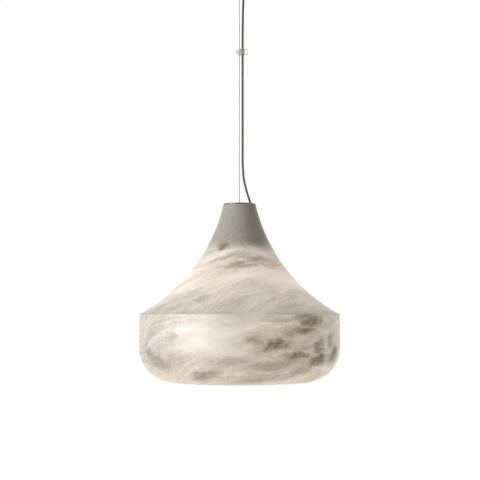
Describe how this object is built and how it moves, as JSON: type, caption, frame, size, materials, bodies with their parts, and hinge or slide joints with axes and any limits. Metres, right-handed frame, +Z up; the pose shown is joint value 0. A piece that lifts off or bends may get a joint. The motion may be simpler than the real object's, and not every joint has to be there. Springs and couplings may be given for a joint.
{
  "type": "pendant lamp",
  "caption": "Pendant lamp with a flared two-piece alabaster shade hung on a steel wire, its cable beside the wire, with a ceiling canopy and an opal bottom diffuser.",
  "frame": {"origin": "middle of the ceiling plate's upper face, between its two slotted holes", "axes": "+Z up, towards the ceiling; the cable lies on the +X side of the wire; the two slotted holes lie on the Y axis"},
  "size_m": [0.45, 0.45, 0.98],
  "materials": {
    "painted_metal": "matt off-white powder coat",
    "brass": "turned",
    "nickel_steel": "satin nickel",
    "earth_brass": "plain",
    "steel_wire": "stranded stainless",
    "nylon": "moulded",
    "rubber": "matt",
    "cable_sheath": "matt grey-brown sheath",
    "conductors": "insulated wires",
    "clear_clip": "clear moulded plastic",
    "alabaster": "polished and translucent, veined",
    "opal_disc": "opal acrylic",
    "holder_plastic": "moulded phenolic",
    "ceramic": "glazed",
    "bulb_metal": "rolled",
    "bulb_insulator": "plain",
    "bulb_plastic": "white",
    "opal_glass": "opal"
  },
  "bodies": {
    "ceiling": {"ceiling_plate": "painted_metal", "canopy": "painted_metal", "canopy_screws": "nickel_steel", "earth_screw": "earth_brass", "gripper_body": "brass", "wire_grip_end": "steel_wire", "wire_grommet": "nylon", "canopy_gland": "rubber", "terminal_block": "nylon", "terminal_screws": "earth_brass", "cord_clamp": "nylon", "canopy_cable": "cable_sheath", "canopy_leads": "conductors"},
    "release": {"gripper_plunger": "nickel_steel"},
    "suspension": {"suspension_wire": "steel_wire", "wire_ferrule": "nickel_steel", "cable_clip": "clear_clip", "cable_upper": "cable_sheath"},
    "shade": {"cable_lower": "cable_sheath", "cable_inner": "cable_sheath", "neck_cap": "nickel_steel", "cable_bush": "rubber", "hanger_tube": "nickel_steel", "stone_washer": "rubber", "clamp_plate": "nickel_steel", "nut_washer": "nickel_steel", "tube_nut": "nickel_steel", "shade_cone": "alabaster", "shade_bowl": "alabaster", "diffuser_ring": "nickel_steel", "holder_cap": "holder_plastic", "holder_skirt": "holder_plastic", "holder_insert": "ceramic", "holder_leads": "conductors", "screw_shell": "nickel_steel", "centre_contact": "brass"},
    "diffuser": {"diffuser": "opal_disc"},
    "bulb": {"bulb_screw_cap": "bulb_metal", "bulb_contact": "bulb_insulator", "bulb_collar": "bulb_plastic", "bulb_globe": "opal_glass"}
  },
  "joints": [
    {"name": "pendant_swing", "type": "hinge", "parent": "ceiling", "child": "suspension", "pos_m": [0, 0, -0.038], "axis": [0, 1, 0], "range_deg": [-8, 8], "deforming": ["cable_upper"]},
    {"name": "shade_swivel", "type": "hinge", "parent": "suspension", "child": "shade", "pos_m": [0, 0, -0.583], "axis": [0, 0, 1], "range_deg": [-45, 45], "deforming": ["cable_lower"]},
    {"name": "gripper_release", "type": "slide", "parent": "ceiling", "child": "release", "axis": [0, 0, 1], "range_m": [0, 0.002], "stiffness_N_per_m": 1500, "springref_m": -0.002},
    {"name": "diffuser_lift", "type": "slide", "parent": "shade", "child": "diffuser", "axis": [0, 0, 1], "range_m": [0, 0.04]},
    {"name": "bulb_out", "type": "slide", "parent": "shade", "child": "bulb", "axis": [0, 0, -1], "range_m": [0, 0.03]}
  ]
}
